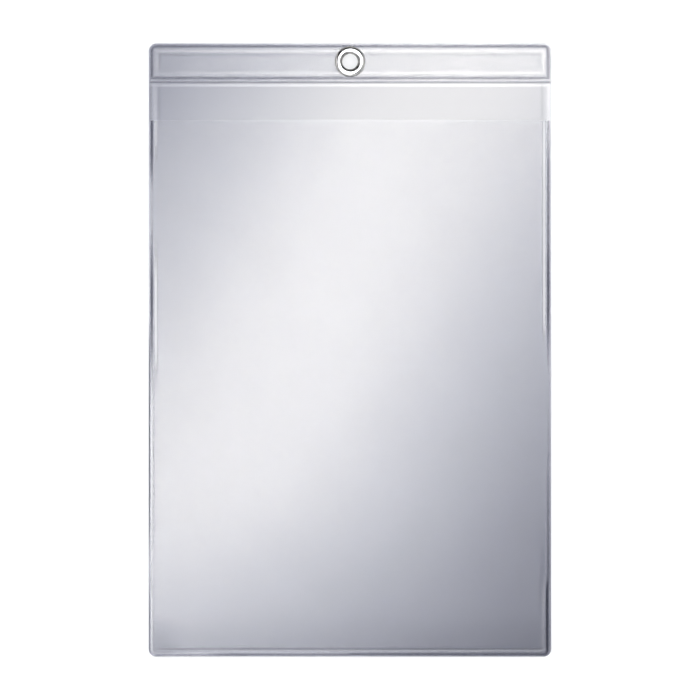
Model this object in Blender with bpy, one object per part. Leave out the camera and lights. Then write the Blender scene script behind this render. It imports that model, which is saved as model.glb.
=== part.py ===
"""Clear vinyl sheet protector: a top-loading sleeve for one A4 page stack, hung by a metal eyelet.

The sleeve is modelled lying on its back, with x across it, y up it, and z from the back film
towards the reader. An empty at the eyelet's centre then stands it upright, so in the world it
faces -Y and hangs down -Z, and the rear face of the back film is the plane y = 0.
"""

import math
from itertools import accumulate

import bmesh
import bpy
import numpy as np
from mathutils import Matrix, Vector

# Pocket and header, in metres
POCKET_WIDTH = 0.2200  # clear width between the side welds
POCKET_DEPTH = 0.2988  # from the mouth to the bottom weld
MOUTH_BELOW_HEADER = 0.0214  # single film between the header's cut edge and the mouth
HEADER_HEIGHT = 0.0222  # top edge to the header strip's cut edge
CORNER_RADIUS = 0.0043
MOUTH_BOW = 0.0070  # how far the relaxed front film stands off at the middle of the mouth

# Film, and the clearance between pieces that touch
FILM = 0.0003
SEAT_GAP = 0.0003

# Section of a weld, from the film's edge inwards: lip, wall, pressed line, and a bead up and down
SIDE_LIP = 0.0009
HEADER_LIP = 0.0024  # the wider lip below the header's lower weld line
WELD_WALL = 0.00025
WELD_LINE = 0.0005
BEAD_CLIMB = 0.00095
BEAD_FALL = 0.0008
LIP_RISE = 0.00015  # heights above the pressed line
BEAD_RISE = 0.00035
FREE_RISE = 0.00015

# Eyelet and its washer
EYELET_DROP = 0.0103  # top edge to the eyelet's centre
BORE_RADIUS = 0.0044
METAL = 0.00035
FLANGE_RADIUS = 0.0086
FLANGE_DOME = 0.0009
CLINCH_RADIUS = 0.0068
CLINCH_DOME = 0.0006
WASHER_RADIUS = 0.0080
WASHER_THICKNESS = 0.0004
WASHER_EDGE = 0.00012  # bevel round the washer's rims

# Fineness of the meshes
CORNER_STEPS = 5
FILM_COLUMNS = 18
FILM_ROWS = 16
TURN_STEPS = 48
ROLL_STEPS = 8
SMOOTH_ANGLE = math.radians(35)

# Sizes that follow
BARREL_RADIUS = BORE_RADIUS + METAL
PUNCH_RADIUS = BARREL_RADIUS + SEAT_GAP
SECTION_RUN = (0.0, WELD_WALL, WELD_LINE, BEAD_CLIMB, BEAD_FALL)
SECTION_AT = tuple(accumulate(SECTION_RUN))
SECTION_RISE = (LIP_RISE, 0.0, 0.0, BEAD_RISE, FREE_RISE)
WELD_BAND = SIDE_LIP + SECTION_AT[-1]
SLEEVE_WIDTH = POCKET_WIDTH + 2 * WELD_BAND
SLEEVE_TOP = EYELET_DROP
HEADER_EDGE = SLEEVE_TOP - HEADER_HEIGHT
MOUTH = HEADER_EDGE - MOUTH_BELOW_HEADER
POCKET_FLOOR = MOUTH - POCKET_DEPTH
SLEEVE_BOTTOM = POCKET_FLOOR - WELD_BAND
FRONT_SEAT = FILM + SEAT_GAP  # rear face of a film welded on the back film
HEADER_FACE = FRONT_SEAT + FREE_RISE + FILM
PUNCH_REACH = 2 * (HEADER_FACE + FILM)  # how far the punch passes the films, each way


def clear_scene():
    for obj in list(bpy.data.objects):
        bpy.data.objects.remove(obj, do_unlink=True)


def principled(name, colour, roughness, metallic=0.0, alpha=1.0):
    material = bpy.data.materials.new(name)
    material.use_nodes = True
    shader = material.node_tree.nodes["Principled BSDF"]
    shader.inputs["Base Color"].default_value = (*colour, 1.0)
    shader.inputs["Roughness"].default_value = roughness
    shader.inputs["Metallic"].default_value = metallic
    shader.inputs["Alpha"].default_value = alpha
    return material


def add_object(name, bm, material, hanger, curved, location=(0.0, 0.0, 0.0)):
    """Closes the bmesh into a named object under the empty, shaded smooth where it is curved."""
    bmesh.ops.recalc_face_normals(bm, faces=bm.faces)
    mesh = bpy.data.meshes.new(name)
    bm.to_mesh(mesh)
    bm.free()
    mesh.materials.append(material)
    if curved:
        mesh.shade_smooth()
        mesh.set_sharp_from_angle(angle=SMOOTH_ANGLE)
    obj = bpy.data.objects.new(name, mesh)
    bpy.context.scene.collection.objects.link(obj)
    obj.parent = hanger
    obj.location = location
    return obj


def corner_marks():
    """Insets that give a rounded corner its facets."""
    return [CORNER_RADIUS * step / CORNER_STEPS for step in range(CORNER_STEPS + 1)]


def weld_marks(lip):
    """Insets at which the section of a weld turns, for a weld whose lip is this wide."""
    return [0.0] + [lip + at for at in SECTION_AT]


def stations(low, high, low_marks, high_marks, pieces):
    """Positions from low to high: the marks inset from each end, and even pieces between them."""
    start, end = low + max(low_marks), high - max(high_marks)
    middle = np.linspace(start, end, pieces + 1)
    every = [low + mark for mark in low_marks] + [high - mark for mark in high_marks]
    return np.unique(np.round(np.concatenate([every, middle]), 6))


def rounded(along, across):
    """Carries a point of a square corner to the round one; both are measured from its centre.

    Each square ring about the centre becomes an arc of the same reach, so insets are kept.
    """
    reach, least = max(along, across), min(along, across)
    turn = math.pi / 4 * least / reach
    far, near = reach * math.cos(turn), reach * math.sin(turn)
    return (far, near) if along >= across else (near, far)


def outline_point(x, y, half, low, high, round_low, round_high):
    """The place of a grid point once the sleeve's corners are rounded."""
    along = abs(x) - (half - CORNER_RADIUS)
    up = y - (high - CORNER_RADIUS) if round_high else -1.0
    down = (low + CORNER_RADIUS) - y if round_low else -1.0
    across = max(up, down)
    if along <= 0.0 or across <= 0.0:
        return x, y
    along, across = rounded(along, across)
    y = high - CORNER_RADIUS + across if up > down else low + CORNER_RADIUS - across
    return math.copysign(half - CORNER_RADIUS + along, x), y


def weld_rise(insets):
    """Height of a welded film over its pressed line, from its insets past each lip."""
    return float(np.interp(min(insets), SECTION_AT, SECTION_RISE))


def film(name, columns, rows, rounding, height, material, hanger, curved=False):
    """A film of constant thickness over a grid; height(x, y) gives its rear face."""
    half, low, high = columns[-1], rows[0], rows[-1]
    bm = bmesh.new()
    grid = []
    for y in rows:
        row = []
        for x in columns:
            px, py = outline_point(x, y, half, low, high, *rounding)
            row.append(bm.verts.new((px, py, height(x, y))))
        grid.append(row)
    for below, above in zip(grid, grid[1:]):
        for k in range(len(columns) - 1):
            bm.faces.new((below[k], below[k + 1], above[k + 1], above[k]))
    front = bmesh.ops.extrude_face_region(bm, geom=list(bm.faces))
    lifted = [v for v in front["geom"] if isinstance(v, bmesh.types.BMVert)]
    bmesh.ops.translate(bm, vec=Vector((0.0, 0.0, FILM)), verts=lifted)
    return add_object(name, bm, material, hanger, curved)


def back_sheet(material, hanger):
    half = SLEEVE_WIDTH / 2
    marks = corner_marks()
    columns = stations(-half, half, marks, marks, 2)
    rows = stations(SLEEVE_BOTTOM, SLEEVE_TOP, marks, marks, 2)
    return film(
        "back_sheet", columns, rows, (True, True), lambda x, y: 0.0, material, hanger
    )


def header_strip(material, hanger):
    """The reinforcing film across the top, welded all round in one closed rectangle."""
    half = SLEEVE_WIDTH / 2
    side = weld_marks(SIDE_LIP) + corner_marks()
    columns = stations(-half, half, side, side, 2)
    rows = stations(HEADER_EDGE, SLEEVE_TOP, weld_marks(HEADER_LIP), side, 2)

    def height(x, y):
        insets = (
            half - abs(x) - SIDE_LIP,
            SLEEVE_TOP - y - SIDE_LIP,
            y - HEADER_EDGE - HEADER_LIP,
        )
        return FRONT_SEAT + weld_rise(insets)

    return film("header_strip", columns, rows, (False, True), height, material, hanger)


def front_sheet(material, hanger):
    """The pocket's front film: welded on three sides, and bowed off the back film at its mouth.

    The bow is a half cosine across the clear width times a quarter sine up from the bottom weld.
    """
    half = SLEEVE_WIDTH / 2
    side = weld_marks(SIDE_LIP) + corner_marks()
    columns = stations(-half, half, side, side, FILM_COLUMNS)
    rows = stations(SLEEVE_BOTTOM, MOUTH, side, [0.0], FILM_ROWS)

    def height(x, y):
        weld = weld_rise((half - abs(x) - SIDE_LIP, y - SLEEVE_BOTTOM - SIDE_LIP))
        across = max(0.0, math.cos(math.pi * x / POCKET_WIDTH))
        up = max(0.0, math.sin(math.pi / 2 * (y - POCKET_FLOOR) / POCKET_DEPTH))
        clear = abs(x) < POCKET_WIDTH / 2
        return FRONT_SEAT + weld + (MOUTH_BOW * across * up if clear else 0.0)

    return film("front_sheet", columns, rows, (True, False), height, material, hanger, True)


def turned(name, profile, material, hanger, location):
    """A ring turned from a closed profile of (radius, z) points about the eyelet's axis."""
    bm = bmesh.new()
    loop = [bm.verts.new((r, 0.0, z)) for r, z in profile]
    for a, b in zip(loop, loop[1:] + loop[:1]):
        bm.edges.new((a, b))
    bmesh.ops.spin(
        bm,
        geom=list(bm.verts) + list(bm.edges),
        cent=(0.0, 0.0, 0.0),
        axis=(0.0, 0.0, 1.0),
        angle=2 * math.pi,
        steps=TURN_STEPS,
        use_merge=True,
    )
    return add_object(name, bm, material, hanger, True, location)


def roll(inner, outer, foot, dome):
    """Middle line of a rolled rim: a half ellipse from the barrel over to its outer edge."""
    centre, reach = (inner + outer) / 2, (outer - inner) / 2
    turns = np.linspace(math.pi, 0.0, ROLL_STEPS + 1)
    return [(centre + reach * math.cos(t), foot + dome * math.sin(t)) for t in turns]


def sheet_metal(line):
    """Closed profile of a strip of the metal's thickness about a middle line of (radius, z)."""
    points = np.array(line)
    ahead = np.gradient(points, axis=0)
    ahead /= np.linalg.norm(ahead, axis=1, keepdims=True)
    side = np.stack([-ahead[:, 1], ahead[:, 0]], axis=1) * METAL / 2
    return [tuple(p) for p in (points + side)] + [
        tuple(p) for p in (points - side)[::-1]
    ]


def eyelet(material, hanger):
    """One drawn piece: domed flange in front, barrel through the films, clinch roll behind."""
    middle = BORE_RADIUS + METAL / 2
    flange_foot = HEADER_FACE + SEAT_GAP + METAL / 2
    clinch_foot = -(SEAT_GAP + WASHER_THICKNESS + SEAT_GAP + METAL / 2)
    front = roll(middle, FLANGE_RADIUS - METAL / 2, flange_foot, FLANGE_DOME)
    back = roll(middle, CLINCH_RADIUS - METAL / 2, clinch_foot, -CLINCH_DOME)
    profile = sheet_metal(front[::-1] + back)
    return turned("eyelet", profile, material, hanger, (0.0, 0.0, 0.0))


def eyelet_washer(material, hanger):
    """Flat ring behind the back film, with bevelled rims."""
    inner, outer, edge = PUNCH_RADIUS, WASHER_RADIUS, WASHER_EDGE
    top, bottom = 0.0, -WASHER_THICKNESS
    profile = [
        (inner, bottom + edge),
        (inner + edge, bottom),
        (outer - edge, bottom),
        (outer, bottom + edge),
        (outer, top - edge),
        (outer - edge, top),
        (inner + edge, top),
        (inner, top - edge),
    ]
    place = (0.0, 0.0, -SEAT_GAP)
    return turned("eyelet_washer", profile, material, hanger, place)


def punch(hanger):
    """The punch that cuts the eyelet's hole through both header films."""
    bm = bmesh.new()
    bmesh.ops.create_cone(
        bm,
        cap_ends=True,
        segments=TURN_STEPS,
        radius1=PUNCH_RADIUS,
        radius2=PUNCH_RADIUS,
        depth=2 * PUNCH_REACH,
        matrix=Matrix.Identity(4),
    )
    tool = add_object("punch", bm, principled("punch", (1.0, 0.2, 0.1), 0.5), hanger, False)
    tool.hide_render = True
    tool.display_type = "WIRE"
    return tool


def cut(target, tool):
    boolean = target.modifiers.new("punched_hole", "BOOLEAN")
    boolean.operation = "DIFFERENCE"
    boolean.solver = "EXACT"
    boolean.object = tool


def build():
    clear_scene()
    hanger = bpy.data.objects.new("sleeve", None)
    bpy.context.scene.collection.objects.link(hanger)
    hanger.rotation_euler = (math.pi / 2, 0.0, 0.0)

    back = back_sheet(principled("back_vinyl", (0.62, 0.64, 0.70), 0.28, alpha=0.6), hanger)
    strip = header_strip(principled("header_vinyl", (0.74, 0.76, 0.81), 0.22, alpha=0.4), hanger)
    front_sheet(principled("front_vinyl", (0.80, 0.82, 0.86), 0.18, alpha=0.3), hanger)
    eyelet(principled("eyelet_nickel", (0.80, 0.79, 0.77), 0.16, metallic=1.0), hanger)
    eyelet_washer(principled("washer_nickel", (0.72, 0.71, 0.70), 0.26, metallic=1.0), hanger)

    tool = punch(hanger)
    for sheet in (back, strip):
        cut(sheet, tool)


build()
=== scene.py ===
"""Looks of a clear vinyl sheet protector, laid out as a Blender add-on.

The films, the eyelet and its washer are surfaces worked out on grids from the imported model's
boxes. Places are in metres: x across the sleeve, z up it, and y from front to back, 0 at the back
film's rear face. A film's face is its distance in front of that, -y.
"""

import math
from collections import namedtuple

import bpy
import numpy as np
from bpy.props import FloatProperty, FloatVectorProperty, IntProperty, PointerProperty
from bpy.types import Operator, Panel, PropertyGroup
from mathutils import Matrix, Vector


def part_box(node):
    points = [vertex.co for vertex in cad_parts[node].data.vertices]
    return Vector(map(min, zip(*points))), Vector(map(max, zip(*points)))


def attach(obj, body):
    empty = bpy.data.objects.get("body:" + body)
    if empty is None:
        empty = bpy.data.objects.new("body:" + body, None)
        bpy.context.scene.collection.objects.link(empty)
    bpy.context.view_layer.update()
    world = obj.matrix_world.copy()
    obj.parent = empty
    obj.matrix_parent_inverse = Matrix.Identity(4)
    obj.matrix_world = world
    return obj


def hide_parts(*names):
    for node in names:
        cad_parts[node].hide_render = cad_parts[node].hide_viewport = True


bl_info = {
    "name": "Sheet Protector",
    "version": (1, 0, 0),
    "blender": (4, 5, 0),
    "location": "3D View > Sidebar > Sleeve",
    "description": "Welded vinyl films, a rolled eyelet and a plain studio",
    "category": "Object",
}

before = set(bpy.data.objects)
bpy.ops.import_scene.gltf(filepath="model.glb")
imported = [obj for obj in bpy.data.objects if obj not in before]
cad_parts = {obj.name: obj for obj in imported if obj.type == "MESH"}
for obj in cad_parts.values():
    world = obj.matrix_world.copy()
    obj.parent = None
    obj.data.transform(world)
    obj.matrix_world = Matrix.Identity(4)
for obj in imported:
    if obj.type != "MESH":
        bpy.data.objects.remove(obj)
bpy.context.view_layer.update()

BACK_LOW, BACK_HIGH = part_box("back_sheet")
HEADER_LOW, HEADER_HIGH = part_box("header_strip")
POCKET_LOW, POCKET_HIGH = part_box("front_sheet")
EYELET_LOW, EYELET_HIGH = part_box("eyelet")
WASHER_LOW, WASHER_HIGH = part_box("eyelet_washer")

MIDDLE_HEIGHT = (BACK_LOW.z + BACK_HIGH.z) / 2

# A soft painted line along a weld: its strength, its place and half its width. SHADE, HOLLOW and
# EDGE lines are painted shade, SHINE lines painted highlight. Places count from the lip's inner
# edge, the lip being the film outside the weld, unless the line says otherwise.
Line = namedtuple("Line", "strength place reach")

PRESS_SHADE = Line(1.0, 0.0002, 0.0013)  # from the middle of the pressed line
BEAD_SHINE = Line(1.0, 0.0006, 0.0013)  # from the foot of the bead
LIP_SHADE = Line(1.0, -0.0007, 0.0008)
LIP_SHINE = Line(1.0, 0.0008, 0.0010)
LIP_HOLLOW = Line(0.12, 0.0021, 0.0008)
RIGHT_HOLLOW = Line(0.16, 0.0040, 0.0022)
FOLD_SHADE = Line(1.0, 0.0012, 0.0012)  # from the foot of the bottom bead
SLOPE_SHADE = Line(1.0, 0.0, 0.0300)  # from the bottom edge
HEADER_SHINE = Line(0.85, 0.0010, 0.0013)  # this and the next from the foot of its bead
HEADER_HOLLOW = Line(0.11, 0.0030, 0.0014)
CUT_SHADE = Line(0.66, 0.0, 0.0010)  # this and the next three from the cut edge
# CUT_UNDERSHADE is a painted shadow of the header's cut edge, on the back film.
CUT_UNDERSHADE = Line(0.35, 0.0, 0.0010)
CUT_SHINE = Line(0.75, -0.0014, 0.0014)
HEADER_BEAD_SHINE = Line(0.5, 0.0046, 0.0012)

# The band between the header and the mouth, where the back film is alone, with painted shade and
# painted highlight along its sides.
BAND_EDGE_LEFT = Line(0.6, 0.0, 0.0010)
BAND_HOLLOW_LEFT = Line(0.35, 0.0050, 0.0014)
BAND_HOLLOW_RIGHT = Line(0.30, 0.0042, 0.0014)
BAND_SHINE_LEFT = Line(0.5, 0.0025, 0.0022)
BAND_SHINE_RIGHT = Line(0.6, 0.0003, 0.0025)

# How strongly the header's weld shows, as painted shade at its line and painted highlight at its bead.
HEADER_LINE, HEADER_LINE_LOWER, HEADER_LINE_RIGHT = 0.68, 0.50, 0.50
HEADER_BEAD_LEFT = 0.5
HEADER_LINE_DROP = 0.0004  # how far below its pressed line the lower weld's painted shade lies

# How strongly the pocket's painted weld marks show, as (place, strength) marks joined by smooth
# ramps: LINE, SINK, FOLD and SLOPE tables scale painted shade, BEAD tables painted highlight, and
# LIP both. Places run from the bottom edge, 0, to the mouth, 1, on the sides, and from left to right
# at the bottom.
NONE = ((0.0, 0.0), (1.0, 0.0))
LEFT_LINE = (
    (0.00, 0.08), (0.45, 0.08), (0.60, 1.00), (0.68, 1.00), (0.82, 0.15), (0.86, 0.15), (0.95, 1.00),
)
LEFT_BEAD = ((0.50, 0.00), (0.58, 1.00), (0.68, 1.00), (0.80, 0.00), (0.90, 0.00), (0.98, 0.50))
LEFT_LIP = ((0.08, 0.80), (0.16, 0.30), (0.28, 1.00), (0.54, 1.00), (0.66, 0.00))
RIGHT_LINE = (
    (0.12, 1.80), (0.15, 0.75), (0.25, 0.60), (0.44, 0.15), (0.52, 0.12),
    (0.66, 1.00), (0.71, 1.00), (0.78, 0.75), (0.90, 0.75), (0.98, 0.30),
)
RIGHT_BEAD = ((0.12, 0.12), (0.15, 0.00), (0.56, 0.00), (0.64, 0.75), (0.86, 0.80), (0.95, 1.00))
RIGHT_SINK = ((0.16, 1.00), (0.26, 0.00))
BOTTOM_LINE = ((0.12, 0.50), (0.22, 0.95))
BOTTOM_BEAD = ((0.12, 0.05), (0.22, 0.19))
BOTTOM_FOLD = ((0.12, 0.45), (0.30, 0.75), (1.00, 0.85))
BOTTOM_SLOPE = ((0.02, 0.25), (0.10, 0.10), (0.45, 0.12), (0.80, 0.18), (0.98, 0.30))

# How far inside their pressed lines the painted marks of these welds lie, in metres.
RIGHT_SHIFT = ((0.12, 0.0006), (0.16, 0.0))
BOTTOM_SHIFT = ((0.0, -0.0003), (1.0, -0.0003))
CORNER_BLEND = 0.003  # over which a corner's marks change from the side's to the bottom's

# Strength of the left lip's painted shade and highlight on each film. The front one carries the whole
# painted shade.
LIP_SHADE_ON_BACK, LIP_SHINE_ON_BACK, LIP_SHINE_ON_FRONT = 0.7, 2.6, 0.7

# How a film looks: the shares of light that it scatters and, seen straight on, mirrors, its
# roughness, and what a painted highlight line adds to the scattered and to the mirrored share.
FilmLook = namedtuple("FilmLook", "haze mirror roughness whiten glint")

BACK_LOOK = FilmLook(haze=0.025, mirror=0.087, roughness=0.12, whiten=0.14, glint=0.042)
HEADER_LOOK = FilmLook(haze=0.034, mirror=0.017, roughness=0.20, whiten=0.06, glint=0.046)
FRONT_LOOK = FilmLook(haze=0.034, mirror=0.031, roughness=0.30, whiten=0.60, glint=0.020)
RIPPLE_HEIGHT = 0.00004
SCRATCH_HEIGHT = 0.00001

# A noise by scale, detail and roughness, and the range of it that is stretched over 0 to 1.
Noise = namedtuple("Noise", "scale detail roughness low high", defaults=(2.0, 0.5, 0.0, 1.0))

HAZE_CLOUDS = Noise(34.0, 3.0, 0.6, 0.3, 0.7)
RIPPLE = Noise(26.0, 1.0)
GRAIN = Noise(900.0, 1.0)
SCUFFS = Noise(5.0, 2.0, 0.5, 0.66, 0.74)
SCUFFED_PLACES = Noise(17.0, 2.0, 0.5, 0.55, 0.70)
# Patchiness of the painted shade along the weld lines.
LINE_SHADE_CLOUDS = Noise(7.0, 1.0, 0.5, 0.35, 0.65)
SCRATCHES = Noise(900.0, 4.0, 0.65, 0.35, 0.65)
DULL_CLOUDS = Noise(420.0, 4.0, 0.6, 0.45, 0.70)
WEAVE = Noise(60.0)

RIPPLE_STRETCH = (1.0, 1.0, 0.45)
SCUFF_TURN, SCUFF_STRETCH = (0.0, math.radians(24), 0.0), (9.0, 1.0, 260.0)
TURN_SHRINK = 0.002  # metres that a radian round the ring counts for in its scratches
GRAIN_SHARE = 0.02  # height of the grain against the ripple's
HAZE_SPREAD = 0.15  # part by which the haze varies to each side of its mean
HAZE_ROUGHNESS, SCUFF_ROUGHNESS = 0.7, 0.2
LEAST_LINE_SHADE = 0.62  # least strength of a painted shade line, where its patchy noise is lowest
HAZE_KEPT, GLOSS_KEPT = 0.3, 0.25  # by a painted shade line
TONE_KEPT, LEAST_METAL_SHADE = 0.86, 0.7  # tone kept where plate is duller, and the least strength of the metal's painted shade
DULL_ROUGHNESS, SHADED_ROUGHNESS = 0.16, 0.12  # added to the plate's own
SCRATCH_STRENGTH = 0.35
SHADED_TONE = 0.12  # share of its light that plated metal mirrors under its painted shade

# Numbers of grid lines over the parts of a film.
WELD_STEPS, LIP_STEPS, CUT_STEPS = 33, 5, 13
HOLE_STEPS, HOLE_RINGS = 25, 9
WIDE_STEPS, TALL_STEPS = 41, 61
BOW_WIDE_STEPS, BOW_TALL_STEPS = 97, 121
MOUTH_MARKS = (0.0, 0.0004, 0.001, 0.002)
HOLLOW_SPAN = (-0.6, 1.1)  # of the hollow's reach that has grid lines of its own
MICRON, MICRON_DIGITS = 1e-6, 6

# Numbers of points along the metal's middle line, and round a washer's rim.
FLANGE_STEPS, CLINCH_STEPS, BARREL_STEPS, BEVEL_STEPS = 41, 31, 11, 6

WHITE = (1.0, 1.0, 1.0)
TOP_FADE = 0.2  # metres over which a softbox fades in from its top edge
RAYS = ("camera", "diffuse", "glossy", "transmission", "shadow", "volume_scatter")


def length(description, default):
    """A length in metres that a user may change."""
    return FloatProperty(
        description=description, default=default, min=0.0, unit="LENGTH", precision=5
    )


def angle(description, degrees):
    return FloatProperty(description=description, default=math.radians(degrees), subtype="ANGLE")


def share(description, default, most=1.0):
    """A plain number from 0 to most."""
    return FloatProperty(description=description, default=default, min=0.0, max=most)


def colour(description, default, most=1.0):
    return FloatVectorProperty(
        description=description, default=default, min=0.0, max=most, subtype="COLOR"
    )


class SleeveSizes(PropertyGroup):
    """Sizes of the three welded films."""

    corner: length("Radius of the sleeve's four corners", 0.0043)
    film: length("Thickness of each film", BACK_HIGH.y - BACK_LOW.y)
    seat: length("Rear face of a welded film where it is pressed", -HEADER_HIGH.y)
    side_lip: length("Film outside the weld along the outline", 0.0009)
    header_lip: length("Film below the header's lower weld", 0.0024)
    wall: length("Width of the step down to the pressed line", 0.00025)
    line: length("Width of the line, the weld's flat bottom", 0.0005)
    climb: length("Width of the rise from the line to the bead", 0.00095)
    fall: length("Width of the fall from the bead to the free film", 0.0008)
    lip_rise: length("Height of the lip over the line", 0.00015)
    bead_rise: length("Height of the bead over the line", 0.00035)
    free_rise: length("Height of the free film over the line", 0.00015)
    groove: length("Depth of the die's print in the back film's rear face", 0.00006)
    bow: length("How far the front film stands off at its mouth", 0.0070)
    stretch: length("Sag of the free header film between its welds", 0.00005)
    stretch_run: length("Width over which the header film sags", 0.003)
    patch: length("Half side of the square of rings round the hole", 0.0064)
    hole: length("Radius of the hole punched for the eyelet", 0.00505)


class EyeletSizes(PropertyGroup):
    """Sizes of the eyelet and its washer."""

    bore: length("Radius of the hole through the barrel", 0.0044)
    metal: length("Thickness of the drawn metal", 0.00035)
    clinch: length("Radius of the roll behind the sleeve", 0.0068)
    flange_seat: length("Room between the flange's foot and the header film", 0.0001)
    clinch_seat: length("Room between the roll's foot and the washer", 0.0003)
    # Painted shade in the throat and on the outer rim: the plate is darker and rougher there.
    shade_from: length("How far from the bore the throat is unpolished", 0.0006)
    shade_to: length("How far from the bore the full polish starts", 0.0016)
    rim_from: length("How far from the outer edge the rim is worn", 0.0004)
    rim_to: length("How far from the outer edge the full polish ends", 0.0012)
    rim_shade: share("How dull the outer rim is, against the throat", 0.75)
    bevel: length("Round on the washer's rims", 0.00012)
    around: IntProperty(description="Facets round a turned ring", default=160, min=24)


class SleeveFinish(PropertyGroup):
    """Colours of the vinyl and the metal."""

    back_tint: colour("Light that a face of the back film lets through", (0.520, 0.530, 0.588))
    front_tint: colour("Light that a face of a front film lets through", (0.996, 0.996, 0.998))
    # Weld lines are painted shade: under them each face passes shade_tint instead of its own tint.
    shade_tint: colour("Light that a pressed weld line lets through", (0.525, 0.530, 0.575))
    haze: colour("Light that the vinyl scatters back", (0.845, 0.848, 0.890))
    pale_haze: colour("Light that it scatters back where it is cloudy", (0.862, 0.864, 0.885))
    gloss: colour("Light that the vinyl's faces mirror", (1.0, 0.982, 0.932))
    nickel: colour("Plated metal of the eyelet", (0.80, 0.79, 0.77))
    washer: colour("Tumbled plate of the washer", (0.70, 0.69, 0.68))


class StudioSettings(PropertyGroup):
    """Camera, softboxes and surroundings."""

    distance: length("From camera and strip to the sleeve", 1.5)
    view_width: length("Width of the picture at the sleeve", 0.39487)
    ambient: share("Brightness of the surroundings on dull surfaces", 0.70)
    glow: share("Brightness of the strip's middle", 9.7, 50.0)
    plateau: share("Part of the glow at which it is level", 0.816)
    feather: colour("Colour of its light where it fades out", (0.94, 0.99, 1.15), 2.0)
    turn: angle("How far the strip leans from upright", 30.8)
    strip_shift: length("From the mirror point to the strip's line", 0.060)
    strip_half: length("From the strip's line to where its glow ends", 0.370)
    strip_top: length("Glowing length above the mirror point", 0.80)
    strip_full: length("Where it starts to fade, below that point", 0.200)
    strip_end: length("Where its glow ends, below that point", 0.600)
    strip_slant: share("How much sooner it ends per metre to the right", 0.35)
    card_glow: share("Brightness of the cards", 2.6, 50.0)
    card_distance: length("From the sleeve to the side cards", 1.6)
    card_rise: length("Half height of the side cards", 0.9)
    front_card: length("Half width of the cards beside the camera", 0.35)
    front_card_turn: angle("From the camera round to a front card", 42.0)
    back_card: length("Half width of the cards behind the sleeve", 0.60)
    back_card_turn: angle("From the camera round to a back card", 135.0)
    rear_strip: length("Half width of the strip behind the sleeve", 0.36)
    rear_least: share("Brightness of the rear strip at its edges", 0.15)
    flag_reach: length("Half side of the black flag behind the strip", 2.6)
    flag_gap: length("Room between the strip and the flag", 0.02)
    wall_gap: length("Room between the eyelet's back and the wall", 0.0003)
    wall_half: length("Half width of the wall", 0.60)
    wall_top: length("Height of the wall above the eyelet", 0.45)
    floor_drop: length("Room between the sleeve and the floor", 0.45)
    floor_half: length("Half width of the floor", 3.0)


def eased(at, marks, values):
    """Values at the marks, joined by half-cosine ramps, and level past both ends."""
    marks, values = np.asarray(marks), np.asarray(values)
    k = np.clip(np.searchsorted(marks, at, side="right") - 1, 0, len(marks) - 2)
    t = np.clip((at - marks[k]) / (marks[k + 1] - marks[k]), 0.0, 1.0)
    return values[k] + (values[k + 1] - values[k]) * (1.0 - np.cos(np.pi * t)) / 2.0


def ridge(at, middle, reach):
    """A smooth bump: the square of a cosine, 1 at the middle and 0 from reach on either side."""
    return np.cos(np.pi / 2 * np.clip((at - middle) / reach, -1.0, 1.0)) ** 2


def stroke(at, line):
    """A soft line's bump."""
    return line.strength * ridge(at, line.place, line.reach)


def along_side(place, marks):
    """Strength at a place along a side, by the side's (place, strength) marks."""
    places, strengths = np.transpose(marks)
    return eased(place, places, strengths)


def sided(x, left, right):
    return np.where(x < 0.0, left, right)


def up_pocket(z):
    """Height as a share of the pocket's depth: 0 at its bottom edge and 1 at its mouth."""
    return (z - POCKET_LOW.z) / (POCKET_HIGH.z - POCKET_LOW.z)


def weld_section(sizes):
    """Insets past the lip at which a weld's section turns, and its heights there."""
    runs = (0.0, sizes.wall, sizes.line, sizes.climb, sizes.fall)
    rises = (sizes.lip_rise, 0.0, 0.0, sizes.bead_rise, sizes.free_rise)
    return np.cumsum(runs), np.array(rises)


def side_marks(sizes, lip):
    """Insets from a welded edge: finely over the weld, then over the corner and the hollow."""
    welded = lip + weld_section(sizes)[0][-1]
    marks = [np.linspace(0.0, lip, LIP_STEPS), np.linspace(lip, welded, WELD_STEPS)]
    if welded < sizes.corner:
        marks.append(np.linspace(welded, sizes.corner, LIP_STEPS))
    hollow = lip + BAND_HOLLOW_LEFT.place
    marks.append(hollow + BAND_HOLLOW_LEFT.reach * np.linspace(*HOLLOW_SPAN, LIP_STEPS))
    return np.concatenate(marks)


def hole_marks(sizes):
    return np.linspace(-sizes.patch, sizes.patch, HOLE_STEPS)


def stations(low, high, low_marks, high_marks, *inner):
    """Rising positions, to the micron: marks inset from both ends, and the inner ones."""
    every = np.concatenate([low + np.asarray(low_marks), high - np.asarray(high_marks), *inner])
    every = np.unique(np.round(every, MICRON_DIGITS))
    return every[(every >= low - MICRON) & (every <= high + MICRON)]


def round_corners(x, z, half, low, high, radius, round_low, round_high):
    """Carries the squares about each corner's centre to arcs of the same reach.

    A point a and b from the centre goes to reach * (cos t, sin t), where reach is the larger of
    a and b and t is an eighth turn times their ratio. An end that isn't rounded has no corners.
    """
    along = np.abs(x) - (half - radius)
    up = np.where(round_high, z - (high - radius), 0.0)
    down = np.where(round_low, (low + radius) - z, 0.0)
    across = np.maximum(up, down)
    inside = (along > 0.0) & (across > 0.0)
    reach = np.where(inside, np.maximum(along, across), 1.0)
    turn = np.pi / 4 * np.where(inside, np.minimum(along, across), 0.0) / reach
    far, near = reach * np.cos(turn), reach * np.sin(turn)
    wide = along >= across
    new_x = np.sign(x) * (half - radius + np.where(wide, far, near))
    lift = np.where(wide, near, far)
    new_z = np.where(up > down, high - radius + lift, low + radius - lift)
    return np.where(inside, new_x, x), np.where(inside, new_z, z)


def quads(index):
    """Faces of a grid of vertex numbers, turned towards -y where x runs along its rows."""
    corners = (index[:-1, :-1], index[:-1, 1:], index[1:, 1:], index[1:, :-1])
    return np.stack(corners, axis=-1).reshape(-1, 4)


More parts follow.
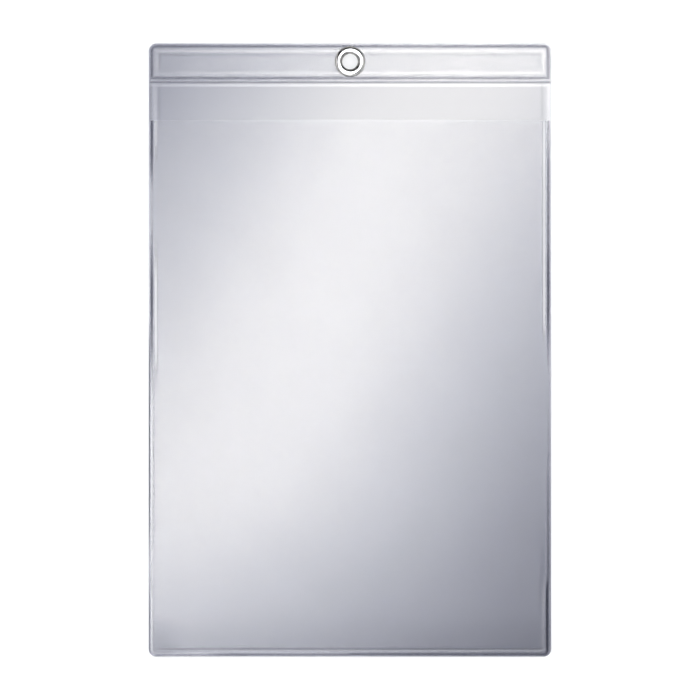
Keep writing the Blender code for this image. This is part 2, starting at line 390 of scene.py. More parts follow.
def rim(index):
    """Vertex numbers round a grid, anticlockwise as seen from the front."""
    return np.concatenate([index[0, :-1], index[:-1, -1], index[-1, :0:-1], index[:0:-1, 0]])


def linked(name, data):
    """A new object of some data, in the scene."""
    made = bpy.data.objects.new(name, data)
    bpy.context.scene.collection.objects.link(made)
    return made


def put_mesh(name, points, faces, material, masks, sharp=35.0):
    """Makes the object of some quads. Masks are values for the material at each vertex."""
    used, faces = np.unique(faces, return_inverse=True)
    faces = faces.reshape(-1, 4)
    mesh = bpy.data.meshes.new(name)
    mesh.vertices.add(len(used))
    mesh.vertices.foreach_set("co", points[used].astype(np.float32).ravel())
    mesh.loops.add(faces.size)
    mesh.loops.foreach_set("vertex_index", faces.astype(np.int32).ravel())
    mesh.polygons.add(len(faces))
    mesh.polygons.foreach_set("loop_start", np.arange(0, faces.size, 4, dtype=np.int32))
    mesh.update(calc_edges=True)
    if mesh.validate():
        raise ValueError(f"{name} had faces that Blender had to repair")
    for mask, values in masks.items():
        attribute = mesh.attributes.new(mask, "FLOAT", "POINT")
        attribute.data.foreach_set("value", values[used].astype(np.float32))
    mesh.shade_smooth()
    mesh.set_sharp_from_angle(angle=math.radians(sharp))
    mesh.materials.append(material)
    return linked(name, mesh)


def punched(x, z, index, sizes):
    """Swaps a square patch of the grid for rings that run from its sides to a round hole.

    Ring k of n lies at (1 - k/n) of the square's side and k/n of the circle, at the same turn.
    """
    cols = np.flatnonzero(np.abs(x[0]) <= sizes.patch + MICRON)
    rows = np.flatnonzero(np.abs(z[:, 0]) <= sizes.patch + MICRON)
    loop = rim(index[rows[0]:rows[-1] + 1, cols[0]:cols[-1] + 1])
    side_x, side_z = x.ravel()[loop], z.ravel()[loop]
    turn = np.arctan2(side_z, side_x)
    part = (np.arange(1, HOLE_RINGS + 1) / HOLE_RINGS)[:, None]
    ring_x = (1 - part) * side_x + part * sizes.hole * np.cos(turn)
    ring_z = (1 - part) * side_z + part * sizes.hole * np.sin(turn)
    numbers = index.size + np.arange(ring_x.size).reshape(ring_x.shape)
    ring = np.vstack([loop, numbers])
    ring = np.hstack([ring, ring[:, :1]])
    cells = np.ones((index.shape[0] - 1, index.shape[1] - 1), bool)
    cells[rows[0]:rows[-1], cols[0]:cols[-1]] = False
    faces = np.vstack([quads(index)[cells.ravel()], quads(ring)])
    points_x = np.concatenate([x.ravel(), ring_x.ravel()])
    points_z = np.concatenate([z.ravel(), ring_z.ravel()])
    return points_x, points_z, faces, ring[-1, ::-1]


def film_piece(name, half, steps, rows, ends, section, material, sizes, holed=True):
    """A closed film: a front grid and a rear grid, joined round the outline and the hole.

    section(x, z) gives the rear face, the front face and the masks at square grid points, before
    the corners are rounded. ends says whether the lower and the upper end have round corners.
    """
    side, hole = side_marks(sizes, sizes.side_lip), hole_marks(sizes) if holed else ()
    cols = stations(-half, half, side, side, hole, np.linspace(-half, half, steps))
    x, z = np.meshgrid(cols, rows)
    index = np.arange(x.size).reshape(x.shape)
    loops = [np.append(rim(index), index[0, 0])]
    if holed:
        x, z, faces, loop = punched(x, z, index, sizes)
        loops.append(loop)
    else:
        x, z, faces = x.ravel(), z.ravel(), quads(index)
    rear, front, masks = section(x, z)
    px, pz = round_corners(x, z, cols[-1], rows[0], rows[-1], sizes.corner, *ends)
    points = np.vstack([np.stack([px, -front, pz], 1), np.stack([px, -rear, pz], 1)])
    count = len(x)
    walls = [np.stack([p[:-1], p[:-1] + count, p[1:] + count, p[1:]], 1) for p in loops]
    faces = np.vstack([faces, faces[:, ::-1] + count, *walls])
    masks = {mask: np.tile(values, 2) for mask, values in masks.items()}
    return put_mesh(name, points, faces, material, masks)


def outline_insets(x, z, half, low, high, lip):
    """Distance past the lip, from the nearest of both sides and both ends."""
    return np.minimum.reduce([half - np.abs(x), z - low, high - z]) - lip


def weld_masks(inset, at):
    """Painted shade along a weld, at its pressed line, and painted highlight, at the foot of its bead.

    at holds the insets past the lip where its section turns.
    """
    return stroke(inset - (at[1] + at[2]) / 2, PRESS_SHADE), stroke(inset - at[-1], BEAD_SHINE)


def back_film_masks(x, z, inset, welded):
    """Painted shade and painted highlight on the back film: along its edges between header and mouth,
    on its left lip beside the pocket, and across the header, a painted shadow at the cut edge and
    painted highlights below it and at the lower bead.
    """
    in_pocket = z <= POCKET_HIGH.z
    below_cut = z - HEADER_LOW.z
    in_band = (below_cut < 0.0) & ~in_pocket
    edge = sided(x, stroke(inset, BAND_EDGE_LEFT), 0.0)
    hollow = sided(x, stroke(inset, BAND_HOLLOW_LEFT), stroke(inset, BAND_HOLLOW_RIGHT))
    shine = sided(x, stroke(inset, BAND_SHINE_LEFT), stroke(inset, BAND_SHINE_RIGHT))
    lip = np.where(in_pocket & (x < 0.0), along_side(up_pocket(z), LEFT_LIP), 0.0)
    bead = np.where(inset > welded, stroke(below_cut, HEADER_BEAD_SHINE), 0.0)
    dark = np.maximum.reduce([
        np.where(in_band, np.maximum(edge, hollow), 0.0),
        LIP_SHADE_ON_BACK * lip * stroke(inset, LIP_SHADE),
        stroke(below_cut, CUT_UNDERSHADE),
    ])
    white = np.maximum.reduce([
        np.where(in_band, shine, 0.0),
        LIP_SHINE_ON_BACK * lip * stroke(inset, LIP_SHINE),
        stroke(below_cut, CUT_SHINE),
        bead,
    ])
    return {"dark": dark, "white": white}


def header_film_masks(x, z, at, sizes):
    """Painted shade and painted highlight along the header's weld, and painted shade at its cut edge.
    """
    half, high = HEADER_HIGH.x, HEADER_HIGH.z
    above_cut = z - HEADER_LOW.z
    outer = outline_insets(x, z, half, -np.inf, high, sizes.side_lip)
    lower = above_cut - sizes.header_lip + HEADER_LINE_DROP
    inset = np.minimum(outer, lower)
    dark, _ = weld_masks(inset, at)
    white = stroke(inset - at[-1], HEADER_SHINE)
    beside = half - np.abs(x) < high - z
    strength = np.where(beside & (x > 0.0), HEADER_LINE_RIGHT, HEADER_LINE)
    strength = np.where(lower < outer, HEADER_LINE_LOWER, strength)
    hollow = np.where(lower < outer, 0.0, stroke(inset - at[-1], HEADER_HOLLOW))
    dark = np.maximum.reduce([strength * dark, hollow, stroke(above_cut, CUT_SHADE)])
    white = np.where(beside & (x < 0.0), HEADER_BEAD_LEFT, 1.0) * white
    return {"dark": dark, "white": white}


def front_film_masks(x, z, inset, at, half):
    """Painted shade and highlight along the pocket's three welds, each as strong as its side's marks
    say.

    A point belongs to a side or to the bottom, whichever is nearer, with a soft change between.
    A painted shade darkens the film a little where it slopes down to the bottom weld.
    """
    above, height, along = z - POCKET_LOW.z, up_pocket(z), (x + half) / (2 * half)
    beside = eased(above - (half - np.abs(x)), [-CORNER_BLEND, CORNER_BLEND], [0.0, 1.0])

    def by_side(left, right, bottom):
        side = sided(x, along_side(height, left), along_side(height, right))
        return beside * side + (1.0 - beside) * along_side(along, bottom)

    inset = inset - by_side(NONE, RIGHT_SHIFT, BOTTOM_SHIFT)
    dark, white = weld_masks(inset, at)
    lip = by_side(LEFT_LIP, NONE, NONE)
    dark = np.maximum.reduce([
        dark * by_side(LEFT_LINE, RIGHT_LINE, BOTTOM_LINE),
        lip * stroke(inset, LIP_SHADE),
        lip * stroke(inset, LIP_HOLLOW),
        by_side(NONE, RIGHT_SINK, NONE) * stroke(inset, RIGHT_HOLLOW),
        by_side(NONE, NONE, BOTTOM_FOLD) * stroke(inset - at[-1], FOLD_SHADE),
        along_side(along, BOTTOM_SLOPE) * stroke(above, SLOPE_SHADE),
    ])
    white = white * by_side(LEFT_BEAD, RIGHT_BEAD, BOTTOM_BEAD)
    white = np.maximum(white, LIP_SHINE_ON_FRONT * lip * stroke(inset, LIP_SHINE))
    return {"dark": dark, "white": white}


def add_node(tree, kind, inputs=None, **settings):
    """A node with its own settings, and with inputs set to values or linked to sockets."""
    node = tree.nodes.new(kind)
    for name, value in settings.items():
        setattr(node, name, value)
    for name, value in (inputs or {}).items():
        if isinstance(value, bpy.types.NodeSocket):
            tree.links.new(value, node.inputs[name])
        else:
            node.inputs[name].default_value = value
    return node


def output(tree, kind, inputs=None, **settings):
    """The first output of a new node."""
    return add_node(tree, kind, inputs, **settings).outputs[0]


def maths(tree, operation, *values, clamp=False):
    inputs = dict(enumerate(values))
    return output(tree, "ShaderNodeMath", inputs, operation=operation, use_clamp=clamp)


def times(tree, a, b, clamp=False):
    return maths(tree, "MULTIPLY", a, b, clamp=clamp)


def blend(tree, factor, a, b):
    """A colour between a, where the factor is 0, and b, where it is 1."""
    inputs = {0: factor, 6: a, 7: b}  # the node's colour sockets, like output 2
    return add_node(tree, "ShaderNodeMix", inputs, data_type="RGBA").outputs[2]


def spread(tree, value, low, high, to_low=0.0, to_high=1.0):
    """Stretches the range from low to high over the new one, and clamps it."""
    inputs = {"Value": value, "From Min": low, "From Max": high, "To Min": to_low, "To Max": to_high}
    return output(tree, "ShaderNodeMapRange", inputs)


def noise(tree, vector, kind, to_low=0.0, to_high=1.0):
    scale, detail, roughness, low, high = kind
    inputs = {"Vector": vector, "Scale": scale, "Detail": detail, "Roughness": roughness}
    raw = output(tree, "ShaderNodeTexNoise", inputs)
    return spread(tree, raw, low, high, to_low, to_high)


def mask_of(tree, name):
    return add_node(tree, "ShaderNodeAttribute", attribute_name=name).outputs["Fac"]


def own_place(tree):
    """Where a point lies on its object."""
    return add_node(tree, "ShaderNodeTexCoord").outputs["Object"]


def on_front(tree):
    """1 on the front of a face and 0 on its back."""
    behind = add_node(tree, "ShaderNodeNewGeometry").outputs["Backfacing"]
    return maths(tree, "SUBTRACT", 1.0, behind)


def rgba(three, dimmed=1.0):
    return (*(dimmed * part for part in three), 1.0)


def shared_marks(tree, name, fill):
    """Outputs of a shader group that materials share, at a point's place on its object.

    fill(group, place) makes its nodes on first use, and gives the socket of each output.
    """
    group = bpy.data.node_groups.get(name)
    if group is None:
        group = bpy.data.node_groups.new(name, "ShaderNodeTree")
        group.interface.new_socket("Position", in_out="INPUT", socket_type="NodeSocketVector")
        shown = fill(group, group.nodes.new("NodeGroupInput").outputs["Position"])
        for label in shown:
            group.interface.new_socket(label, in_out="OUTPUT", socket_type="NodeSocketFloat")
        end = group.nodes.new("NodeGroupOutput")
        for label, socket in shown.items():
            group.links.new(socket, end.inputs[label])
    return add_node(tree, "ShaderNodeGroup", {0: own_place(tree)}, node_tree=group).outputs


def vinyl_surface(group, place):
    """Marks that every vinyl film has: cloudy haze, the calender's ripple and grain, and scuffs.

    Scuffs are the thin crests of a slanted noise, kept only where a slower noise is high.
    """
    drawn = output(
        group, "ShaderNodeVectorMath", {0: place, 1: RIPPLE_STRETCH}, operation="MULTIPLY"
    )
    fine = times(group, noise(group, place, GRAIN), GRAIN_SHARE)
    slanted = output(
        group, "ShaderNodeMapping", {"Vector": place, "Rotation": SCUFF_TURN, "Scale": SCUFF_STRETCH}
    )
    scuffed = noise(group, place, SCUFFED_PLACES)
    return {
        "Cloud": noise(group, place, HAZE_CLOUDS),
        "Height": maths(group, "ADD", noise(group, drawn, RIPPLE), fine),
        "Scuff": times(group, noise(group, slanted, SCUFFS), scuffed),
    }


def metal_wear(group, place):
    """Handling marks on plated metal: duller clouds, and fine scratches.

    Scratches are noise by turn, radius and depth, with the turn shrunk so that they run round.
    """
    x, y, z = add_node(group, "ShaderNodeSeparateXYZ", {0: place}).outputs
    turn = times(group, maths(group, "ARCTAN2", z, x), TURN_SHRINK)
    flat = output(group, "ShaderNodeCombineXYZ", {0: x, 1: z})
    radius = add_node(group, "ShaderNodeVectorMath", {0: flat}, operation="LENGTH").outputs["Value"]
    polar = output(group, "ShaderNodeCombineXYZ", {0: turn, 1: radius, 2: y})
    return {"Scratch": noise(group, polar, SCRATCHES), "Dull": noise(group, place, DULL_CLOUDS)}


def new_material(name):
    material = bpy.data.materials.new(name)
    material.use_nodes = True
    material.node_tree.nodes.clear()
    return material, material.node_tree


def surfaced(material, surface):
    """The material, once this shader is its surface."""
    add_node(material.node_tree, "ShaderNodeOutputMaterial", {"Surface": surface})
    return material


def vinyl(name, tint, finish, look):
    """Clear film: tinted see-through, a little scattered haze, and gloss on the outer faces.

    The gloss share is mirror + (1 - mirror) * (1 - cosine)^5 on faces that point at the viewer.
    The dark mask is painted shade: it passes, scatters and mirrors less light. The white mask is a
    painted highlight: it scatters and mirrors more.
    """
    material, tree = new_material(name)
    marks = shared_marks(tree, "Vinyl surface", vinyl_surface)
    place, white = own_place(tree), mask_of(tree, "white")
    # Painted shade along the welds: the dark mask, made patchy, lets less light through and cuts the
    # haze and the gloss.
    shade_clouds = noise(tree, place, LINE_SHADE_CLOUDS, LEAST_LINE_SHADE, 1.0)
    dark = times(tree, mask_of(tree, "dark"), shade_clouds, clamp=True)

    passed = blend(tree, dark, rgba(tint), rgba(finish.shade_tint))
    clear = output(tree, "ShaderNodeBsdfTransparent", {"Color": passed})

    least, most = (1.0 - HAZE_SPREAD) * look.haze, (1.0 + HAZE_SPREAD) * look.haze
    haze = noise(tree, place, HAZE_CLOUDS, least, most)
    # Painted highlight: the white mask adds to the scattered share.
    haze = maths(tree, "MULTIPLY_ADD", white, look.whiten, haze, clamp=True)
    haze = times(tree, haze, spread(tree, dark, 0.0, 1.0, 1.0, HAZE_KEPT))
    tone = blend(tree, marks["Cloud"], rgba(finish.haze), rgba(finish.pale_haze))
    scatter = output(
        tree, "ShaderNodeBsdfPrincipled",
        {"Base Color": tone, "Roughness": HAZE_ROUGHNESS, "Specular IOR Level": 0.0},
    )
    body = output(tree, "ShaderNodeMixShader", {0: haze, 1: clear, 2: scatter})

    bump = output(
        tree, "ShaderNodeBump",
        {"Height": marks["Height"], "Strength": 1.0, "Distance": RIPPLE_HEIGHT},
    )
    rough = spread(tree, marks["Scuff"], 0.0, 1.0, look.roughness, look.roughness + SCUFF_ROUGHNESS)
    gloss = output(
        tree, "ShaderNodeBsdfGlossy", {"Color": rgba(finish.gloss), "Roughness": rough, "Normal": bump}
    )
    facing = add_node(tree, "ShaderNodeLayerWeight", {"Normal": bump}).outputs["Facing"]
    fifth = maths(tree, "POWER", facing, 5.0)
    mirrored = maths(tree, "MULTIPLY_ADD", fifth, 1.0 - look.mirror, look.mirror)
    # Painted highlight: the white mask adds to the mirrored share.
    mirrored = maths(tree, "MULTIPLY_ADD", white, look.glint, mirrored)
    mirrored = times(tree, mirrored, on_front(tree))
    mirrored = times(tree, mirrored, spread(tree, dark, 0.0, 1.0, 1.0, GLOSS_KEPT))
    return surfaced(material, output(tree, "ShaderNodeMixShader", {0: mirrored, 1: body, 2: gloss}))


def nickel(name, base, roughness):
    """Plated metal that varies with wear, and carries painted shade where the darkened mask is high.
    """
    material, tree = new_material(name)
    wear = shared_marks(tree, "Metal wear", metal_wear)
    tone = blend(tree, wear["Dull"], rgba(base), rgba(base, TONE_KEPT))
    # Painted shade: the darkened mask, patchy with the wear clouds, darkens and roughens the plate.
    shade_strength = spread(tree, wear["Dull"], 0.0, 1.0, LEAST_METAL_SHADE, 1.0)
    shaded = times(tree, mask_of(tree, "darkened"), shade_strength)
    tone = blend(tree, shaded, tone, rgba(base, SHADED_TONE))
    rough = spread(tree, wear["Dull"], 0.0, 1.0, roughness, roughness + DULL_ROUGHNESS)
    rough = maths(tree, "MULTIPLY_ADD", shaded, SHADED_ROUGHNESS, rough)
    bump = output(
        tree, "ShaderNodeBump",
        {"Height": wear["Scratch"], "Strength": SCRATCH_STRENGTH, "Distance": SCRATCH_HEIGHT},
    )
    shader = output(
        tree, "ShaderNodeBsdfPrincipled",
        {"Base Color": tone, "Metallic": 1.0, "Roughness": rough, "Normal": bump},
    )
    return surfaced(material, shader)


def settled(piece, node):
    """Hands a piece to the frame in the place of its CAD node, and ends its operator."""
    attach(piece, "root")
    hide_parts(node)
    return {"FINISHED"}


class SLEEVE_OT_back_film(Operator):
    """Back film, with the die's print of the welds faint in its rear face"""

    bl_idname = "sleeve.back_film"
    bl_label = "Back Film"

    def execute(self, context):
        sizes, finish = context.scene.sleeve_sizes, context.scene.sleeve_finish
        half, low, high = BACK_HIGH.x, BACK_LOW.z, BACK_HIGH.z
        at, _ = weld_section(sizes)
        side, hole = side_marks(sizes, sizes.side_lip), hole_marks(sizes)
        header_side = HEADER_LOW.z + side_marks(sizes, sizes.header_lip)
        under_header = HEADER_LOW.z + CUT_SHINE.place
        under_header = under_header + CUT_SHINE.reach * np.linspace(-1.0, 1.0, CUT_STEPS)
        mouth = POCKET_HIGH.z + CORNER_BLEND * np.linspace(-1.0, 1.0, LIP_STEPS)
        rows = stations(
            low, high, side, side, hole, header_side, under_header, mouth,
            np.linspace(low, high, TALL_STEPS),
        )

        def section(x, z):
            """The rear face sinks by the groove's depth at the middle of each pressed line."""
            inset = outline_insets(x, z, half, low, high, sizes.side_lip)
            header = z - HEADER_LOW.z - sizes.header_lip
            line, reach = (at[1] + at[2]) / 2, (at[3] - at[0]) / 2
            rear = sizes.groove * np.maximum(ridge(inset, line, reach), ridge(header, line, reach))
            return rear, np.full_like(x, sizes.film), back_film_masks(x, z, inset, at[-1])

        look = vinyl("Back vinyl", finish.back_tint, finish, BACK_LOOK)
        piece = film_piece("back_film", half, WIDE_STEPS, rows, (True, True), section, look, sizes)
        return settled(piece, "back_sheet")


class SLEEVE_OT_header_film(Operator):
    """Header film, welded all round in one closed rectangle and punched for the eyelet"""

    bl_idname = "sleeve.header_film"
    bl_label = "Header Film"

    def execute(self, context):
        sizes, finish = context.scene.sleeve_sizes, context.scene.sleeve_finish
        half, low, high = HEADER_HIGH.x, HEADER_LOW.z, HEADER_HIGH.z
        at, rise = weld_section(sizes)
        side, hole = side_marks(sizes, sizes.side_lip), hole_marks(sizes)
        lower = side_marks(sizes, sizes.header_lip)
        rows = stations(low, high, lower, side, hole)

        def section(x, z):
            """The weld's section by the least inset, and a slight sag of the free film."""
            outer = outline_insets(x, z, half, -np.inf, high, sizes.side_lip)
            inset = np.minimum(outer, z - low - sizes.header_lip)
            sag = sizes.stretch * eased(inset, [at[-1], at[-1] + sizes.stretch_run], [0.0, 1.0])
            rear = sizes.seat + eased(inset, at, rise) - sag
            return rear, rear + sizes.film, header_film_masks(x, z, at, sizes)

        look = vinyl("Header vinyl", finish.front_tint, finish, HEADER_LOOK)
        piece = film_piece("header_film", half, WIDE_STEPS, rows, (False, True), section, look, sizes)
        return settled(piece, "header_strip")


class SLEEVE_OT_front_film(Operator):
    """Front film of the pocket, welded on three sides and bowed at its mouth"""

    bl_idname = "sleeve.front_film"
    bl_label = "Front Film"

    def execute(self, context):
        sizes, finish = context.scene.sleeve_sizes, context.scene.sleeve_finish
        half, low, high = POCKET_HIGH.x, POCKET_LOW.z, POCKET_HIGH.z
        at, rise = weld_section(sizes)
        side = side_marks(sizes, sizes.side_lip)
        rows = stations(low, high, side, MOUTH_MARKS, np.linspace(low, high, BOW_TALL_STEPS))
        clear = half - sizes.side_lip - at[-1]
        depth = high - low - sizes.side_lip - at[-1]

        def section(x, z):
            """The weld's section, and a bow: half a cosine across times a quarter sine upwards."""
            inset = outline_insets(x, z, half, low, np.inf, sizes.side_lip)
            across = np.cos(np.pi / 2 * np.clip(x / clear, -1.0, 1.0))
            up = np.sin(np.pi / 2 * np.clip((z - high + depth) / depth, 0.0, 1.0))
            rear = sizes.seat + eased(inset, at, rise) + sizes.bow * across * up
            return rear, rear + sizes.film, front_film_masks(x, z, inset, at, half)

        look = vinyl("Front vinyl", finish.front_tint, finish, FRONT_LOOK)
        piece = film_piece(
            "front_film", half, BOW_WIDE_STEPS, rows, (True, False), section, look, sizes, holed=False
        )
        return settled(piece, "front_sheet")


def turned_ring(name, radius, face, darkened, material, around):
    """A closed section of (radius, face) points, turned about the eyelet's axis.

    A point at turn t lies at (radius cos t, -face, radius sin t), with the section run so that
    its area is positive. darkened holds the painted shade mask at the section's points.
    """
    area = np.sum(radius * np.roll(face, -1) - np.roll(radius, -1) * face)
    if area < 0.0:
        radius, face, darkened = radius[::-1], face[::-1], darkened[::-1]
    turn = np.linspace(0.0, 2 * np.pi, around, endpoint=False)
    x, z = np.outer(radius, np.cos(turn)), np.outer(radius, np.sin(turn))
    y = np.outer(-face, np.ones(around))
    index = np.pad(np.arange(x.size).reshape(x.shape), (0, 1), mode="wrap")
    points = np.stack([x.ravel(), y.ravel(), z.ravel()], 1)
    masks = {"darkened": np.repeat(darkened, around)}
    return put_mesh(name, points, quads(index), material, masks, sharp=50.0)


def strip_section(line, metal):
    """Closed section of drawn metal: its middle line moved half its thickness to each side."""
    ahead = np.gradient(line, axis=0)
    ahead /= np.linalg.norm(ahead, axis=1, keepdims=True)
    side = np.stack([-ahead[:, 1], ahead[:, 0]], axis=1) * metal / 2
    return np.vstack([line + side, (line - side)[::-1]])


def half_ellipse(inner, outer, foot, dome, steps):
    """A rolled rim's middle line, over from the barrel to the outer edge: turns from pi to 0."""
    turn = np.linspace(np.pi, 0.0, steps)
    middle, reach = (inner + outer) / 2, (outer - inner) / 2
    return np.stack([middle + reach * np.cos(turn), foot + dome * np.sin(turn)], 1)


class SLEEVE_OT_eyelet(Operator):
    """Eyelet of one drawn piece: domed flange, barrel and the roll clinched behind"""

    bl_idname = "sleeve.eyelet"
    bl_label = "Eyelet"

    def execute(self, context):
        sizes, finish = context.scene.eyelet_sizes, context.scene.sleeve_finish
        skin = sizes.metal / 2
        barrel = sizes.bore + skin
        front_foot = -HEADER_LOW.y + sizes.flange_seat + skin
        back_foot = -WASHER_HIGH.y - sizes.clinch_seat - skin
        flange_dome = -EYELET_LOW.y - skin - front_foot
        clinch_dome = EYELET_HIGH.y - skin + back_foot
        front = half_ellipse(barrel, EYELET_HIGH.x - skin, front_foot, flange_dome, FLANGE_STEPS)
        back = half_ellipse(barrel, sizes.clinch - skin, back_foot, -clinch_dome, CLINCH_STEPS)
        depths = np.linspace(front_foot, back_foot, BARREL_STEPS)[1:-1]
        tube = np.stack([np.full_like(depths, barrel), depths], 1)
        radius, face = strip_section(np.vstack([front[::-1], tube, back]), sizes.metal).T
        # Painted shade in the throat and on the outer rim.
        throat = eased(radius - sizes.bore, [sizes.shade_from, sizes.shade_to], [1.0, 0.0])
        edge = eased(EYELET_HIGH.x - radius, [sizes.rim_from, sizes.rim_to], [sizes.rim_shade, 0.0])
        darkened = np.maximum(throat, edge)
        look = nickel("Eyelet nickel", finish.nickel, roughness=0.14)
        piece = turned_ring("eyelet_ring", radius, face, darkened, look, sizes.around)
        return settled(piece, "eyelet")


class SLEEVE_OT_washer(Operator):
    """Flat washer behind the back film, with rounded rims"""

    bl_idname = "sleeve.washer"
    bl_label = "Washer"

    def execute(self, context):
        sizes, finish = context.scene.eyelet_sizes, context.scene.sleeve_finish
        inner, outer, bevel = context.scene.sleeve_sizes.hole, WASHER_HIGH.x, sizes.bevel
        top, bottom = -WASHER_LOW.y, -WASHER_HIGH.y
        corners = [  # each bevel's centre, and the half turns at which its quarter starts
            (outer - bevel, top - bevel, 0.0),
            (inner + bevel, top - bevel, 0.5),
            (inner + bevel, bottom + bevel, 1.0),
            (outer - bevel, bottom + bevel, 1.5),
        ]
        quarter = np.linspace(0.0, 0.5, BEVEL_STEPS)
        radius = np.concatenate([r + bevel * np.cos(np.pi * (t + quarter)) for r, _, t in corners])
        face = np.concatenate([f + bevel * np.sin(np.pi * (t + quarter)) for _, f, t in corners])
        # Painted shade at the inner rim, against the eyelet's roll.
        darkened = eased(radius - inner, [0.0, 2 * bevel], [1.0, 0.0])
        look = nickel("Washer nickel", finish.washer, roughness=0.26)
        piece = turned_ring("washer_ring", radius, face, darkened, look, sizes.around)
        return settled(piece, "eyelet_washer")


def shown_to(obj, *rays):
    """Lets only these kinds of ray meet a stage surface."""
    for ray in RAYS:
        setattr(obj, f"visible_{ray}", ray in rays)


def stage_plane(name, half, near, far, material):
    """A rectangle of the stage, half to each side of x = 0, from (y, z) near to far.

    Its corners run anticlockwise as seen from its front.
    """
    corners = [(-half, *near), (half, *near), (half, *far), (-half, *far)]
    mesh = bpy.data.meshes.new(name)
    mesh.from_pydata(corners, [], [(0, 1, 2, 3)])
    mesh.materials.append(material)
    plane = linked(name, mesh)
    return plane


def seen_rays(tree):
    """1 for rays that show a background: camera, glossy and transmission rays."""
    paths = add_node(tree, "ShaderNodeLightPath").outputs
    seen = maths(tree, "MAXIMUM", paths["Is Camera Ray"], paths["Is Glossy Ray"])
    return maths(tree, "MAXIMUM", seen, paths["Is Transmission Ray"])


def pale_surface(name, grey, lift):
    """One-sided matt surface with a little light of its own for the rays that show it."""
    material, tree = new_material(name)
    matt = output(tree, "ShaderNodeBsdfDiffuse", {"Color": rgba(WHITE, grey)})
    strength = times(tree, seen_rays(tree), lift)
    glow = output(tree, "ShaderNodeEmission", {"Strength": strength})
    lit = output(tree, "ShaderNodeAddShader", {0: matt, 1: glow})
    clear = output(tree, "ShaderNodeBsdfTransparent")
    surface = output(tree, "ShaderNodeMixShader", {0: on_front(tree), 1: clear, 2: lit})
    return surfaced(material, surface)


def black_cloth(name, dark, pale):
    """Matt black with a faint weave, for the flag that shiny metal mirrors."""
    material, tree = new_material(name)
    weave = noise(tree, own_place(tree), WEAVE)
    tone = blend(tree, weave, rgba(WHITE, dark), rgba(WHITE, pale))
    return surfaced(material, output(tree, "ShaderNodeBsdfDiffuse", {"Color": tone}))


def glow_face(name, half, top, full, end, most, least=0.0, plateau=1.0, slant=0.0, feather=WHITE):
    """A softbox's face: a level middle that fades straight to its least glow at the edges.

    In the panel's own metres, with y down it, the glow is (1 - |x| / half) * (end - y - slant *
    x) / (end - full) * (y + top) / TOP_FADE, each clamped to 0 and 1, and their product is cut
    level at the plateau. The light is white there and feather's colour where the glow ends.
    """
    material, tree = new_material(name)
    x, y, _ = add_node(tree, "ShaderNodeSeparateXYZ", {0: own_place(tree)}).outputs
    across = spread(tree, maths(tree, "ABSOLUTE", x), 0.0, half, 1.0, 0.0)
    along = spread(tree, maths(tree, "MULTIPLY_ADD", x, slant, y), full, end, 1.0, 0.0)
    upper = spread(tree, y, -top, TOP_FADE - top)
    glow = times(tree, times(tree, across, along), upper)
    tone = blend(tree, spread(tree, glow, 0.0, plateau), rgba(feather), rgba(WHITE))
    strength = times(tree, spread(tree, glow, 0.0, plateau, least, most), on_front(tree))
    light = output(tree, "ShaderNodeEmission", {"Color": tone, "Strength": strength})
    return surfaced(material, light)


def softbox(name, half, top, end, material, azimuth, distance, turn=0.0):
    """A softbox that stands at an azimuth round the sleeve's middle and faces it.

    Its own y runs down from -top to end. Azimuth 0 is in front and a quarter turn is at +x.
    """
    panel = stage_plane(name, half, (-top, 0.0), (end, 0.0), material)
    across, ahead = distance * math.sin(azimuth), distance * math.cos(azimuth)
    panel.location = (across, -ahead, MIDDLE_HEIGHT)
    panel.rotation_euler = (-math.pi / 2, 0.0, azimuth)
    panel.rotation_euler.rotate_axis("Z", turn)
    return panel


def put_wall_and_floor(studio):
    """A white wall just behind the sleeve, and a pale floor under it."""
    back, low = EYELET_HIGH.y + studio.wall_gap, BACK_LOW.z - studio.floor_drop
    paint = pale_surface("Wall paint", grey=0.80, lift=0.30)
    wall = stage_plane("studio_wall", studio.wall_half, (back, low), (back, studio.wall_top), paint)
    shown_to(wall, "camera")
    half, paint = studio.floor_half, pale_surface("Floor paint", grey=0.85, lift=0.45)
    stage_plane("studio_floor", half, (-half, low), (half, low), paint)


def put_strip(studio):
    """The feathered strip whose mirror image is the slanted highlight, unseen by the camera."""
    half, top, end = studio.strip_half, studio.strip_top, studio.strip_end
    face = glow_face(
        "Strip softbox", half, top, studio.strip_full, end, studio.plateau * studio.glow,
        plateau=studio.plateau, slant=studio.strip_slant, feather=studio.feather,
    )
    strip = softbox("strip_softbox", half, top, end, face, 0.0, studio.distance, studio.turn)
    strip.location.x -= studio.strip_shift * math.cos(studio.turn)
    strip.location.z += studio.strip_shift * math.sin(studio.turn)
    shown_to(strip, *RAYS[1:])


def put_cards(studio):
    """Side cards, a rear strip and a black flag, which only shiny faces mirror."""
    rise, away, glow = studio.card_rise, studio.card_distance, studio.card_glow
    cards = (
        ("front_card", studio.front_card, studio.front_card_turn, 0.0),
        ("back_card", studio.back_card, studio.back_card_turn, 1.0),
    )
    for name, half, azimuth, least in cards:
        face = glow_face(name, half, rise, 0.0, rise, glow, least)
        for side, sign in (("right", 1), ("left", -1)):
            card = softbox(f"{name}_{side}", half, rise, rise, face, sign * azimuth, away)
            shown_to(card, "glossy")
    half, top = studio.rear_strip, studio.strip_top
    face = glow_face("Rear strip", half, top, studio.strip_full, top, glow, studio.rear_least)
    shown_to(softbox("rear_strip", half, top, top, face, math.pi, away, studio.turn), "glossy")
    reach, y = studio.flag_reach, -studio.distance - studio.flag_gap
    low, high = (y, MIDDLE_HEIGHT - reach), (y, MIDDLE_HEIGHT + reach)
    cloth = black_cloth("Black flag", dark=0.01, pale=0.02)
    shown_to(stage_plane("black_flag", -reach, low, high, cloth), "glossy")


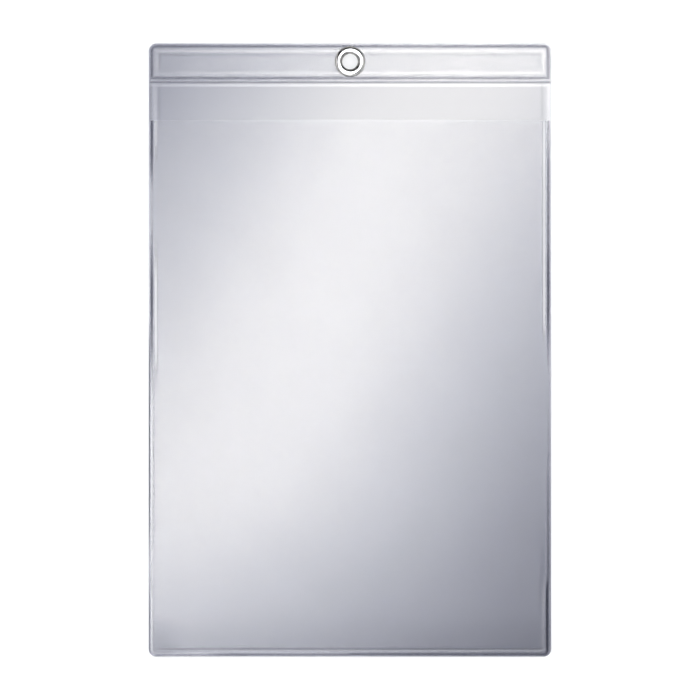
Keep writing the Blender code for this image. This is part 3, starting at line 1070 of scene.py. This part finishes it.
def surroundings(ambient):
    """A white world for the rays that show it, and a dimmer one for the light on dull things."""
    world = bpy.data.worlds.new("Studio")
    bpy.context.scene.world = world
    world.use_nodes = True
    tree = world.node_tree
    tree.nodes.clear()
    strength = spread(tree, seen_rays(tree), 0.0, 1.0, ambient, 1.0)
    sky = output(tree, "ShaderNodeBackground", {"Color": rgba(WHITE), "Strength": strength})
    add_node(tree, "ShaderNodeOutputWorld", {"Surface": sky})


def put_camera(studio):
    """A level camera straight in front of the sleeve's middle."""
    camera = bpy.data.cameras.new("Camera")
    camera.lens = camera.sensor_width * studio.distance / studio.view_width
    eye = linked("Camera", camera)
    eye.location = (0.0, -studio.distance, MIDDLE_HEIGHT)
    eye.rotation_euler = (math.pi / 2, 0.0, 0.0)
    bpy.context.scene.camera = eye


class SLEEVE_OT_studio(Operator):
    """Wall, floor, strip softbox, cards, surroundings and camera"""

    bl_idname = "sleeve.studio"
    bl_label = "Studio"

    def execute(self, context):
        studio = context.scene.studio
        put_wall_and_floor(studio)
        put_strip(studio)
        put_cards(studio)
        surroundings(studio.ambient)
        put_camera(studio)
        context.scene.view_settings.view_transform = "Standard"
        return {"FINISHED"}


def in_words(identifier):
    return identifier.replace("_", " ").capitalize()


class SLEEVE_PT_pieces(Panel):
    """Lists the pieces and their sizes"""

    bl_idname = "SLEEVE_PT_pieces"
    bl_label = "Sheet Protector"
    bl_space_type = "VIEW_3D"
    bl_region_type = "UI"
    bl_category = "Sleeve"

    def draw(self, context):
        for operator in OPERATORS:
            self.layout.operator(operator.bl_idname)
        for name, cls in GROUPS.items():
            box = self.layout.box()
            box.label(text=in_words(name))
            for prop in cls.__annotations__:
                box.prop(getattr(context.scene, name), prop, text=in_words(prop))


GROUPS = {
    "sleeve_sizes": SleeveSizes,
    "eyelet_sizes": EyeletSizes,
    "sleeve_finish": SleeveFinish,
    "studio": StudioSettings,
}
OPERATORS = (
    SLEEVE_OT_back_film,
    SLEEVE_OT_header_film,
    SLEEVE_OT_front_film,
    SLEEVE_OT_eyelet,
    SLEEVE_OT_washer,
    SLEEVE_OT_studio,
)
CLASSES = (*GROUPS.values(), *OPERATORS, SLEEVE_PT_pieces)


def register():
    for cls in CLASSES:
        bpy.utils.register_class(cls)
    for name, cls in GROUPS.items():
        setattr(bpy.types.Scene, name, PointerProperty(type=cls))


def unregister():
    for name in GROUPS:
        delattr(bpy.types.Scene, name)
    for cls in reversed(CLASSES):
        bpy.utils.unregister_class(cls)


def main():
    register()
    bpy.ops.sleeve.back_film()
    bpy.ops.sleeve.header_film()
    bpy.ops.sleeve.front_film()
    bpy.ops.sleeve.eyelet()
    bpy.ops.sleeve.washer()
    bpy.ops.sleeve.studio()


if __name__ == "__main__":
    main()
